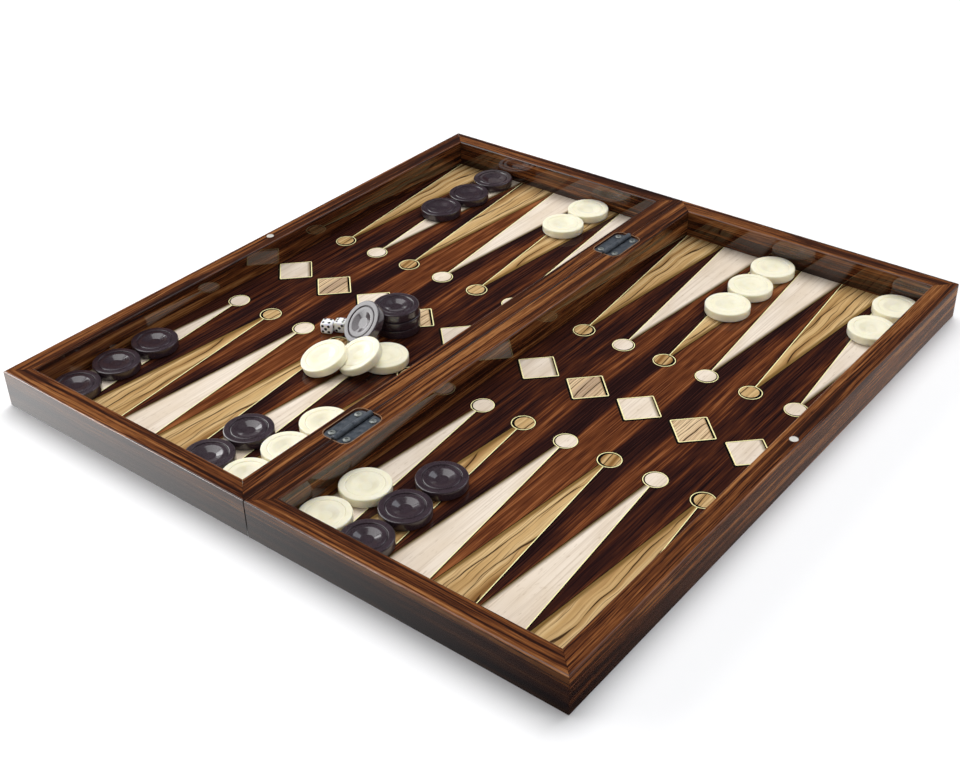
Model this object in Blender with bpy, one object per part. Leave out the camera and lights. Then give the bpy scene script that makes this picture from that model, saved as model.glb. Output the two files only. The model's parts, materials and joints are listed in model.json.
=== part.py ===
"""Folding backgammon set: a hinged walnut board, thirty checkers and two dice.

Frame: origin under the middle of the open board, +X across the halves, +Y along the hinge line, +Z up.
All sizes are in metres and all angles in degrees.
"""

import math

import bmesh
import bpy
from mathutils import Matrix, Vector

# Board
HALF_W = 0.240
HALF_L = 0.250
HEIGHT = 0.028
SEAM = 0.00015
RAIL_W = 0.015
HINGE_RAIL_W = 0.01605
RABBET_W = 0.003
RABBET_H = 0.0055
MITRE_GAP = 0.0001
EDGE_R = 0.0008
SEAM_EDGE_R = 0.0004
GAP = 0.0003
PANEL_T = 0.0052
FIELD_T = 0.0007
FIELD_Z = RABBET_H + FIELD_T
INNER_X = SEAM + HINGE_RAIL_W
COLUMNS = 6
COLUMN_W = (HALF_W - RAIL_W - INNER_X) / COLUMNS

# Hinges
AXIS_Z = HEIGHT + SEAM
HINGE_Y = 0.1533
KNUCKLE_R = 0.0019
KNUCKLE_END = 0.0183
KNUCKLE_HALF_GAP = 0.00015
PIN_R = 0.0008
PIN_CLEARANCE = 0.00008
LEAF_W = 0.011
LEAF_HALF_L = 0.0185
LEAF_CORNER_R = 0.0055
LEAF_BOTTOM = 0.0257
LEAF_T = 0.0009
LEAF_RELIEF = 0.0016
SCREW_X = 0.0065
SCREW_DY = 0.0126
SCREW_SHANK_R = 0.0011
SCREW_HEAD_R = 0.0026
SCREW_HEAD_BOTTOM = LEAF_BOTTOM + LEAF_T + 0.00025
SCREW_TIP = 0.0159
ROUND_SEGMENTS = 24

# Closure magnets
MAGNET_X = 0.2343
MAGNET_Y = 0.002
MAGNET_R = 0.003
MAGNET_BOTTOM = 0.025
MAGNET_TOP = HEIGHT - 0.00005

# Playing pieces
CHECKER_R = 0.0172
CHECKER_T = 0.0066
DIE_SIZE = 0.0092
DIE_ROUND = 0.002

# Rows of checkers on the points. Columns count outwards from the hinge; ends are -1 near and +1 far.
# half, end, column, colour, gap to the end rail, step along the row, sideways nudges (the last three in millimetres)
ROWS = (
    ("left", -1, 5, "dark", 1.4, 35.7, (0.6, 0.3, 0.2)),
    ("left", -1, 1, "dark", 0.8, 35.4, (-0.8, -0.9)),
    ("left", -1, 0, "cream", 0.9, 35.7, (-0.2, -0.5, -0.7)),
    ("left", 1, 4, "dark", 0.5, 35.5, (-1.4, -0.4, -2.6)),
    ("left", 1, 1, "cream", 0.5, 35.0, (-2.8, -4.0)),
    ("right", -1, 0, "cream", 1.6, 36.4, (0.2, 0.3)),
    ("right", -1, 1, "dark", 0.4, 35.8, (1.0, 0.3, -0.2)),
    ("right", 1, 2, "cream", 0.4, 35.3, (1.5, 1.4, 1.8)),
    ("right", 1, 5, "cream", 0.5, 38.6, (-0.4, -1.6)),
)

# Loose pieces in the middle of the left half: places in millimetres, then tilt and the azimuth it leans towards
STACK = ((-80.8, -18.4), (-80.4, -18.3), (-81.0, -18.7))
LEANING = (-87.9, -43.7, 18.6, 44.5, -109.0)
FLAT = (-56.5, -59.8)
OVERLAPPING = ((-65.4, -74.9, 13.3, 23.0, -122.0), (-85.2, -90.7, 11.9, 18.1, -120.5))
DICE = ((-119.3, -53.4, 24.0), (-112.0, -46.5, 24.0))

SIDES = (("right", 1.0), ("left", -1.0))
MM = 0.001


def clear_scene():
    for obj in list(bpy.data.objects):
        bpy.data.objects.remove(obj, do_unlink=True)


def make_material(name, colour, roughness, metallic=0.0):
    material = bpy.data.materials.new(name)
    material.use_nodes = True
    shader = material.node_tree.nodes["Principled BSDF"]
    shader.inputs["Base Color"].default_value = (*colour, 1.0)
    shader.inputs["Roughness"].default_value = roughness
    shader.inputs["Metallic"].default_value = metallic
    return material


def make_materials():
    return {
        "rail": make_material("rail", (0.13, 0.05, 0.025), 0.25),
        "panel": make_material("panel", (0.12, 0.05, 0.03), 0.35),
        "field": make_material("field", (0.07, 0.028, 0.02), 0.2),
        "hinge": make_material("hinge", (0.06, 0.065, 0.075), 0.35, 1.0),
        "screw": make_material("screw", (0.35, 0.35, 0.35), 0.3, 1.0),
        "magnet": make_material("magnet", (0.75, 0.74, 0.7), 0.2, 1.0),
        "dark": make_material("dark", (0.05, 0.035, 0.045), 0.25),
        "cream": make_material("cream", (0.85, 0.8, 0.62), 0.4),
        "die": make_material("die", (0.9, 0.9, 0.9), 0.3),
    }


def finish(name, work, material, smooth=False):
    """Turn a bmesh into a named object with its faces pointing out."""
    bmesh.ops.remove_doubles(work, verts=work.verts, dist=1e-7)
    bmesh.ops.recalc_face_normals(work, faces=work.faces)
    mesh = bpy.data.meshes.new(name)
    work.to_mesh(mesh)
    work.free()
    if smooth:
        mesh.shade_smooth()
        mesh.set_sharp_from_angle(angle=math.radians(35.0))
    mesh.materials.append(material)
    obj = bpy.data.objects.new(name, mesh)
    bpy.context.scene.collection.objects.link(obj)
    return obj


def extrude(name, outline, vector, material):
    """Push a flat outline along a vector."""
    work = bmesh.new()
    face = work.faces.new([work.verts.new(point) for point in outline])
    grown = bmesh.ops.extrude_face_region(work, geom=[face])["geom"]
    moved = [item for item in grown if isinstance(item, bmesh.types.BMVert)]
    bmesh.ops.translate(work, verts=moved, vec=vector)
    return finish(name, work, material)


def box(name, x_ends, y_ends, z_ends, material):
    low_x, high_x = sorted(x_ends)
    outline = ((low_x, y_ends[0]), (high_x, y_ends[0]), (high_x, y_ends[1]), (low_x, y_ends[1]))
    base = [(x, y, z_ends[0]) for x, y in outline]
    return extrude(name, base, (0.0, 0.0, z_ends[1] - z_ends[0]), material)


def cylinder(name, middle, radius, length, axis, segments, material):
    """A round bar with its middle at a point, along Y or Z."""
    turn = Matrix.Rotation(math.radians(90.0), 4, "X") if axis == "Y" else Matrix.Identity(4)
    work = bmesh.new()
    bmesh.ops.create_cone(
        work, cap_ends=True, segments=segments, radius1=radius, radius2=radius, depth=length, matrix=turn
    )
    obj = finish(name, work, material, smooth=True)
    obj.location = middle
    return obj


def lathe(name, profile, segments, material):
    """Spin a (radius, height) profile about Z; it starts and ends on the axis."""
    work = bmesh.new()
    verts = [work.verts.new((radius, 0.0, height)) for radius, height in profile]
    edges = [work.edges.new(pair) for pair in zip(verts, verts[1:])]
    bmesh.ops.spin(
        work, geom=verts + edges, cent=(0.0, 0.0, 0.0), axis=(0.0, 0.0, 1.0), angle=2.0 * math.pi, steps=segments
    )
    return finish(name, work, material, smooth=True)


def combine(target, tool, operation):
    """Apply a boolean to the target and drop the tool."""
    modifier = target.modifiers.new("combine", "BOOLEAN")
    modifier.operation = operation
    modifier.solver = "EXACT"
    modifier.object = tool
    bpy.context.view_layer.update()
    graph = bpy.context.evaluated_depsgraph_get()
    result = bpy.data.meshes.new_from_object(target.evaluated_get(graph))
    target.modifiers.remove(modifier)
    target.data = result
    bpy.data.objects.remove(tool, do_unlink=True)


def rail_profile(width, outer_r, inner_r):
    """Rail section as (distance in from the outer face, height), with the panel's rabbet at the bottom."""
    slant = 1.0 - math.sqrt(0.5)
    return (
        (0.0, 0.0),
        (0.0, HEIGHT - outer_r),
        (outer_r * slant, HEIGHT - outer_r * slant),
        (outer_r, HEIGHT),
        (width - inner_r, HEIGHT),
        (width - inner_r * slant, HEIGHT - inner_r * slant),
        (width, HEIGHT - inner_r),
        (width, RABBET_H),
        (width - RABBET_W, RABBET_H),
        (width - RABBET_W, 0.0),
    )


def make_rail(name, profile, low_end, high_end, placing, material):
    """A mitred rail: each end is (position at the outer face, shift per distance in)."""
    work = bmesh.new()
    face = work.faces.new([work.verts.new((distance, -1.0, height)) for distance, height in profile])
    grown = bmesh.ops.extrude_face_region(work, geom=[face])["geom"]
    moved = [item for item in grown if isinstance(item, bmesh.types.BMVert)]
    bmesh.ops.translate(work, verts=moved, vec=(0.0, 2.0, 0.0))
    for vert in work.verts:
        position, shift = low_end if vert.co.y < 0.0 else high_end
        vert.co.y = position + shift * vert.co.x
    bmesh.ops.transform(work, verts=work.verts, matrix=placing)
    return finish(name, work, material)


def axes_matrix(x_axis, y_axis, origin):
    """Local X and Y laid along the given directions, Z kept upright."""
    matrix = Matrix.Identity(4)
    matrix.col[0] = (*x_axis, 0.0)
    matrix.col[1] = (*y_axis, 0.0)
    matrix.translation = origin
    return matrix


def build_outer_rail(side, sign, materials):
    low = (-HALF_L + MITRE_GAP, 1.0)
    high = (HALF_L - MITRE_GAP, -1.0)
    placing = axes_matrix((-sign, 0.0, 0.0), (0.0, 1.0, 0.0), (sign * HALF_W, 0.0, 0.0))
    profile = rail_profile(RAIL_W, EDGE_R, EDGE_R)
    rail = make_rail("rail_outer_" + side, profile, low, high, placing, materials["rail"])
    hole_bottom = MAGNET_BOTTOM - GAP
    depth = 0.01
    middle = (sign * MAGNET_X, MAGNET_Y, hole_bottom + 0.5 * depth)
    tool = cylinder("tool", middle, MAGNET_R + GAP, depth, "Z", ROUND_SEGMENTS, materials["rail"])
    combine(rail, tool, "DIFFERENCE")
    return rail


def build_end_rail(side, sign, label, end, materials):
    low = (SEAM + MITRE_GAP, HINGE_RAIL_W / RAIL_W)
    high = (HALF_W - MITRE_GAP, -1.0)
    placing = axes_matrix((0.0, -end, 0.0), (sign, 0.0, 0.0), (0.0, end * HALF_L, 0.0))
    profile = rail_profile(RAIL_W, EDGE_R, EDGE_R)
    return make_rail("rail_" + label + "_" + side, profile, low, high, placing, materials["rail"])


def leaf_outline(width, half_length, radius, inner):
    """Leaf plan with its two outer corners rounded; inner holds the corners on the hinge line's side."""
    steps = 5
    points = []
    for i in range(steps + 1):
        angle = math.radians(-90.0 + 90.0 * i / steps)
        x = width - radius + radius * math.cos(angle)
        points.append((x, -half_length + radius + radius * math.sin(angle)))
    for i in range(steps + 1):
        angle = math.radians(90.0 * i / steps)
        x = width - radius + radius * math.cos(angle)
        points.append((x, half_length - radius + radius * math.sin(angle)))
    return points + list(inner)


def screw_places(sign, middle):
    return [(sign * SCREW_X, middle - SCREW_DY), (sign * SCREW_X, middle + SCREW_DY)]


def cut_mortise(rail, sign, middle, material):
    """Pocket for one hinge leaf, open at the seam, with its two pilot holes."""
    past_seam = -0.001
    half_length = LEAF_HALF_L + GAP
    inner = ((past_seam, half_length), (past_seam, -half_length))
    outline = leaf_outline(LEAF_W + GAP, half_length, LEAF_CORNER_R + GAP, inner)
    floor = LEAF_BOTTOM - GAP
    base = [(sign * x, y + middle, floor) for x, y in outline]
    combine(rail, extrude("tool", base, (0.0, 0.0, 0.005), material), "DIFFERENCE")
    depth = floor - SCREW_TIP + 2.0 * GAP
    for x, y in screw_places(sign, middle):
        place = (x, y, floor - 0.5 * depth + GAP)
        tool = cylinder("tool", place, SCREW_SHANK_R + GAP, depth, "Z", 16, material)
        combine(rail, tool, "DIFFERENCE")


def build_hinge_rail(side, sign, materials):
    shift = RAIL_W / HINGE_RAIL_W
    low = (-HALF_L + MITRE_GAP, shift)
    high = (HALF_L - MITRE_GAP, -shift)
    placing = axes_matrix((sign, 0.0, 0.0), (0.0, 1.0, 0.0), (sign * SEAM, 0.0, 0.0))
    profile = rail_profile(HINGE_RAIL_W, SEAM_EDGE_R, EDGE_R)
    rail = make_rail("rail_hinge_" + side, profile, low, high, placing, materials["rail"])
    for middle in (-HINGE_Y, HINGE_Y):
        cut_mortise(rail, sign, middle, materials["rail"])
    return rail


def build_leaf(name, sign, middle, materials):
    """A hinge leaf; the right leaves carry the near knuckle and the left leaves the far one."""
    metal = materials["hinge"]
    own = -sign
    gap = 2.0 * KNUCKLE_HALF_GAP
    inner = ((0.0, LEAF_HALF_L), (0.0, gap), (LEAF_RELIEF, gap), (LEAF_RELIEF, -LEAF_HALF_L))
    outline = leaf_outline(LEAF_W, LEAF_HALF_L, LEAF_CORNER_R, inner)
    base = [(sign * x, own * y + middle, LEAF_BOTTOM) for x, y in outline]
    leaf = extrude(name, base, (0.0, 0.0, LEAF_T), metal)
    length = KNUCKLE_END - KNUCKLE_HALF_GAP
    place = (0.0, middle + own * 0.5 * (KNUCKLE_END + KNUCKLE_HALF_GAP), AXIS_Z)
    combine(leaf, cylinder("tool", place, KNUCKLE_R, length, "Y", ROUND_SEGMENTS, metal), "UNION")
    place = (0.0, middle, AXIS_Z)
    hole = cylinder("tool", place, PIN_R + PIN_CLEARANCE, 2.2 * LEAF_HALF_L, "Y", ROUND_SEGMENTS, metal)
    combine(leaf, hole, "DIFFERENCE")
    for x, y in screw_places(sign, middle):
        hole = cylinder("tool", (x, y, LEAF_BOTTOM), SCREW_SHANK_R + GAP, 0.004, "Z", 16, metal)
        combine(leaf, hole, "DIFFERENCE")
    return leaf


def build_screw(name, x, y, materials):
    """A pan-head wood screw."""
    profile = (
        (0.0, SCREW_TIP),
        (SCREW_SHANK_R, SCREW_TIP + 0.0009),
        (SCREW_SHANK_R, SCREW_HEAD_BOTTOM),
        (SCREW_HEAD_R, SCREW_HEAD_BOTTOM),
        (SCREW_HEAD_R - 0.0002, SCREW_HEAD_BOTTOM + 0.0005),
        (SCREW_HEAD_R - 0.001, SCREW_HEAD_BOTTOM + 0.00085),
        (0.0, SCREW_HEAD_BOTTOM + 0.00095),
    )
    screw = lathe(name, profile, 16, materials["screw"])
    screw.location = (x, y, 0.0)
    return screw


def build_magnet(side, sign, materials):
    height = MAGNET_TOP - MAGNET_BOTTOM
    middle = (sign * MAGNET_X, MAGNET_Y, MAGNET_BOTTOM + 0.5 * height)
    return cylinder("magnet_" + side, middle, MAGNET_R, height, "Z", ROUND_SEGMENTS, materials["magnet"])


def build_floor(side, sign, materials):
    """The bottom panel in its rabbet and the playing-field veneer on top of it."""
    spread = RABBET_W - GAP
    x_ends = (sign * (INNER_X - spread), sign * (HALF_W - RAIL_W + spread))
    reach = HALF_L - RAIL_W + spread
    panel = box("panel_" + side, x_ends, (-reach, reach), (0.0, PANEL_T), materials["panel"])
    x_ends = (sign * (INNER_X + GAP), sign * (HALF_W - RAIL_W - GAP))
    reach = HALF_L - RAIL_W - GAP
    field = box("field_" + side, x_ends, (-reach, reach), (RABBET_H, FIELD_Z), materials["field"])
    return [panel, field]


def build_half(side, sign, materials):
    """Every fixed piece of one half of the board."""
    pieces = build_floor(side, sign, materials)
    pieces.append(build_outer_rail(side, sign, materials))
    pieces.append(build_hinge_rail(side, sign, materials))
    for label, end in (("near", -1.0), ("far", 1.0)):
        pieces.append(build_end_rail(side, sign, label, end, materials))
        middle = end * HINGE_Y
        pieces.append(build_leaf("leaf_" + label + "_" + side, sign, middle, materials))
        for number, (x, y) in enumerate(screw_places(sign, middle), start=1):
            name = "screw_" + label + "_" + side + "_" + str(number)
            pieces.append(build_screw(name, x, y, materials))
    pieces.append(build_magnet(side, sign, materials))
    return pieces


def checker_profile():
    """Half section of a checker with a raised rim, one ring groove and a dished middle."""
    top = CHECKER_T
    return (
        (0.0, 0.0),
        (CHECKER_R - 0.0010, 0.0),
        (CHECKER_R, 0.0010),
        (CHECKER_R, top - 0.0008),
        (CHECKER_R - 0.0008, top),
        (0.0130, top),
        (0.0126, top - 0.0006),
        (0.0121, top - 0.0002),
        (0.0092, top - 0.0002),
        (0.0043, top - 0.0024),
        (0.0, top - 0.0024),
    )


class Checkers:
    """Makes checkers and numbers them by colour."""

    def __init__(self, materials):
        self.materials = materials
        self.counts = {"dark": 0, "cream": 0}

    def build(self, colour, x, y, z, tilt, azimuth, parent):
        """A checker from the middle of its underside; it leans towards the azimuth."""
        self.counts[colour] += 1
        name = "checker_" + colour + "_" + str(self.counts[colour]).zfill(2)
        checker = lathe(name, checker_profile(), ROUND_SEGMENTS, self.materials[colour])
        turn = Matrix.Rotation(math.radians(azimuth), 4, "Z") @ Matrix.Rotation(math.radians(tilt), 4, "Y")
        checker.matrix_world = Matrix.Translation((x, y, z)) @ turn
        hang(checker, parent)
        return checker


def build_rows(checkers, halves):
    signs = dict(SIDES)
    for half, end, column, colour, first_gap, step, nudges in ROWS:
        middle = signs[half] * (INNER_X + (column + 0.5) * COLUMN_W)
        first = HALF_L - RAIL_W - CHECKER_R - first_gap * MM
        for number, nudge in enumerate(nudges):
            y = end * (first - number * step * MM)
            checkers.build(colour, middle + nudge * MM, y, FIELD_Z + GAP, 0.0, 0.0, halves[half])


def build_pile(checkers, left_half):
    """The stack of three with one checker leaning on it, and three that overlap like fallen dominoes."""
    under = left_half
    low = FIELD_Z + GAP
    for x, y in STACK:
        under = checkers.build("dark", x * MM, y * MM, low, 0.0, 0.0, under)
        low += CHECKER_T + GAP
    x, y, z, tilt, azimuth = LEANING
    checkers.build("dark", x * MM, y * MM, z * MM, tilt, azimuth, under)
    x, y = FLAT
    under = checkers.build("cream", x * MM, y * MM, FIELD_Z + GAP, 0.0, 0.0, left_half)
    for x, y, z, tilt, azimuth in OVERLAPPING:
        under = checkers.build("cream", x * MM, y * MM, z * MM, tilt, azimuth, under)


def build_die(name, x, y, yaw, materials):
    work = bmesh.new()
    bmesh.ops.create_cube(work, size=DIE_SIZE)
    bmesh.ops.bevel(work, geom=work.edges[:], offset=DIE_ROUND, segments=3, profile=0.5, affect="EDGES")
    die = finish(name, work, materials["die"], smooth=True)
    die.location = (x, y, FIELD_Z + GAP + 0.5 * DIE_SIZE)
    die.rotation_euler = (0.0, 0.0, math.radians(yaw))
    return die


def hang(child, parent):
    """Parent a piece without moving it."""
    bpy.context.view_layer.update()
    child.parent = parent
    child.matrix_parent_inverse = parent.matrix_world.inverted()


def make_axis(name):
    """An empty on the hinge axis that carries one half."""
    axis = bpy.data.objects.new(name, None)
    bpy.context.scene.collection.objects.link(axis)
    axis.location = Vector((0.0, 0.0, AXIS_Z))
    return axis


def main():
    clear_scene()
    materials = make_materials()
    halves = {side: make_axis("axis_" + side) for side, _ in SIDES}
    for side, sign in SIDES:
        for piece in build_half(side, sign, materials):
            hang(piece, halves[side])
    hang(halves["left"], halves["right"])
    for label, end in (("near", -1.0), ("far", 1.0)):
        middle = (0.0, end * HINGE_Y, AXIS_Z)
        pin = cylinder("pin_" + label, middle, PIN_R, 2.0 * KNUCKLE_END, "Y", ROUND_SEGMENTS, materials["screw"])
        hang(pin, halves["right"])
    checkers = Checkers(materials)
    build_rows(checkers, halves)
    build_pile(checkers, halves["left"])
    for number, (x, y, yaw) in enumerate(DICE, start=1):
        hang(build_die("die_" + str(number), x * MM, y * MM, yaw, materials), halves["left"])


main()
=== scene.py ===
"""Looks of the folding backgammon set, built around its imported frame.

Lengths are in metres in the row frame, and angles are in degrees.
"""

import json
import math

import bmesh
import bpy
from mathutils import Matrix, Vector

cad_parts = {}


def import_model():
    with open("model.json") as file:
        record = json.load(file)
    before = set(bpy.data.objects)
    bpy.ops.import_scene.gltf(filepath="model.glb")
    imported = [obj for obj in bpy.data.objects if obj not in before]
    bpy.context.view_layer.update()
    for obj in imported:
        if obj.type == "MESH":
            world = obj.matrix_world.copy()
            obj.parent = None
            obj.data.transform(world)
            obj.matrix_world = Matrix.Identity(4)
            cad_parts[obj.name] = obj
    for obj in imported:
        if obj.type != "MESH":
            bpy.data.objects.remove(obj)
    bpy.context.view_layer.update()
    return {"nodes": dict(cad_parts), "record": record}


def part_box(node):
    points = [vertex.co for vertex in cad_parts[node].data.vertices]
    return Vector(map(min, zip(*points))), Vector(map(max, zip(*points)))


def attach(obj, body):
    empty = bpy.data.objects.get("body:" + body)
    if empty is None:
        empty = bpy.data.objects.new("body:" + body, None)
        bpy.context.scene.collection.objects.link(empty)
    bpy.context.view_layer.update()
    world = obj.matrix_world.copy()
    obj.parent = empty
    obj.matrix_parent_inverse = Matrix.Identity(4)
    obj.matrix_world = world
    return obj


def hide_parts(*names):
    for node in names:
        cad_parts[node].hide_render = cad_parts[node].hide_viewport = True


MM = 0.001
SIDES = (("right", 1.0), ("left", -1.0))
ENDS = (("near", -1.0), ("far", 1.0))

# Case
HALF_W = 0.240
HALF_L = 0.250
HEIGHT = 0.028
SEAM = 0.00015
RAIL_W = 0.015
HINGE_RAIL_W = 0.01605
RABBET_W = 0.003
RABBET_H = 0.0055
MITRE_GAP = 0.0001
EDGE_R = 0.0011
SEAM_EDGE_R = 0.0006
SEAM_LINE = 0.00045
SEAM_LINE_DEPTH = 0.0007
EDGE_STEPS = 8
CIRCLE_STEPS = 48
# How far cutting tools reach past a face, and how deep the ones for pockets are
CUT_PAST = 0.001
CUT_DEPTH = 0.01
# How much lighter or darker each board's wood is at its low and high ends
RAIL_TONES = {
    "outer_right": (-0.06, 0.085),
    "hinge_right": (-0.025, 0.005),
    "near_right": (0.02, 0.0),
    "far_right": (0.0, -0.05),
    "outer_left": (0.045, -0.06),
    "hinge_left": (-0.08, -0.06),
    "near_left": (0.03, 0.04),
    "far_left": (-0.12, -0.09),
}
# How dark the painted shade on the outer faces is, and how far it fades towards the top
END_PAINTED_SHADE = 0.94
HINGE_PAINTED_SHADE = 0.35
PAINTED_SHADE_FADE = 0.35
SEAM_REACH = 0.001
GAP = 0.0003
INNER_X = SEAM + HINGE_RAIL_W
FIELD_Z = 0.0062
HALF_CENTRE = 0.5 * (INNER_X + HALF_W - RAIL_W)
COLUMNS = 6
COLUMN_W = (HALF_W - RAIL_W - INNER_X) / COLUMNS

# Tone of the field veneer by the distance in mm from the middle of its half
FIGURE_WIDTH = 105
FIELD_FIGURE = (
    (0, 0.60), (9, 0.62), (12, 0.63), (15, 0.45), (17.5, 0.18), (30, 0.16),
    (33, 0.38), (36, 0.50), (41, 0.57), (44, 0.42), (50, 0.34), (56, 0.23),
    (63, 0.36), (70, 0.22), (78, 0.38), (88, 0.26), (105, 0.33),
)  # fmt: skip

# Hinges and magnets
AXIS_Z = HEIGHT + SEAM
HINGE_Y = 0.1533
LEAF_W = 0.011
LEAF_HALF_L = 0.0185
LEAF_CORNER_R = 0.0055
LEAF_BOTTOM = 0.0257
LEAF_TOP = 0.0266
LEAF_RELIEF = 0.0016
LEAF_EDGE = 0.00018
KNUCKLE_R = 0.0019
KNUCKLE_END = 0.0183
KNUCKLE_HALF_GAP = 0.00015
KNUCKLE_CHAMFER = 0.00015
KNUCKLE_STEPS = 40
PIN_HOLE_R = 0.00088
SCREW_X = 0.0065
SCREW_DY = 0.0126
SCREW_SHANK_R = 0.0011
SCREW_HEAD_R = 0.0026
SCREW_HEAD_BOTTOM = LEAF_TOP + 0.00025
SCREW_HEAD_H = 0.00095
SCREW_TIP = 0.0159
SCREW_TURNS = (20.0, 65.0, 40.0, 10.0, 75.0, 30.0, 55.0, 5.0)
CROSS_ARM = 0.0011
CROSS_HALF_W = 0.00028
MORTISE_LINE_W = 0.0007
MORTISE_LINE_DEPTH = 0.0001
MAGNET_X = 0.2343
MAGNET_Y = 0.002
MAGNET_R = 0.003
MAGNET_BOTTOM = 0.025
MAGNET_TOP = 0.02795

# Playing pieces
CHECKER_R = 0.0172
CHECKER_T = 0.0066
CHECKER_STEPS = 96
RIM_DROP = 0.0002
DISH_DEPTH = 0.0021
GROOVE_DEPTHS = {"dark": 0.0010, "cream": 0.0005}
DIE_SIZE = 0.0092
DIE_ROUND = 0.002
DIE_YAW = 24.0
PIP_R = 0.0012
SMALL_PIP_R = 0.0009
PIP_DEPTH = 0.0004
PIP_SPREAD = 0.0024
# Tilted checkers: tilt and the azimuth of the lean
TILTED = {
    "checker_dark_15": (44.5, -109.0),
    "checker_cream_14": (23.0, -122.0),
    "checker_cream_15": (18.1, -120.5),
}

# Inlay, as plates that start a little under the playing field
INLAY_BOTTOM = FIELD_Z - 0.0002
LAYER = 0.00002
POINT_TIP_Y = 0.0686
POINT_BASE_Y = HALF_L - RAIL_W - GAP
SHOULDER_Y = 0.219
POINT_TIP_HALF_W = 0.00097
POINT_SLOPE = 0.096
POINT_BEVELS = {1.0: 0.0004, -1.0: 0.0017}
POINT_SHADOW_W = 0.0007
GOLD_W = 0.0006
BRONZE_W = 0.0003
RING_Y = 0.0608
RING_R = 0.0083
RING_LINE_W = 0.0006
# Each dot's sideways shift and how much smaller than its ring it is
DOT_SETS = {"olive": (0.0009, 0.0016), "maple": (0.0005, 0.0011)}
DOT_UP = 0.0002
DIAMOND_FIRST_X = 0.0364
DIAMOND_STEP = 0.0424
DIAMONDS = 5
DIAMOND_R = 0.0182
DIAMOND_LINE_W = 0.0011
DIAMOND_CORNER = 0.0012
DIAMOND_SET_BACK = 0.0003
CORNER_STEPS = 4
# Part, set-back of the upper right edge and start of its shading, even then odd
DIAMOND_SETS = (("dots_maple", 0.0008, -0.0008), ("diamonds_olive", 0.0015, 0.0002))
# Part, material and how many layers above the field its plates end
INLAYS = (
    ("black", "black", 1),
    ("maple", "maple", 2),
    ("olive", "olive", 2),
    ("gold", "gold", 3),
    ("bronze", "bronze", 3),
    ("shadow", "black", 4),
    ("dots_maple", "maple", 5),
    ("dots_olive", "olive", 5),
    ("diamonds_olive", "pale_olive", 5),
)

# Stage and view
FLOOR_HALF = 6.0
FLOOR_Z = -0.0002
FLOOR_COLOUR = (0.89, 0.89, 0.895)
# Name, azimuth from +X towards +Y, elevation, strength and angular size
SKIES = (
    ("top", 117.0, 61.0, 2.6, 48.0),
    ("side", 15.0, 36.0, 0.6, 50.0),
    ("fill", -66.0, 32.0, 0.6, 60.0),
)
CAMERA_AT = (0.5253, -0.6635, 0.5436)
CAMERA_FORWARD = (-0.5277, 0.6446, -0.5532)
CAMERA_RIGHT = (0.7836, 0.6209, -0.0240)
CAMERA_LENS = 51.72


# ---- node helpers


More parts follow.
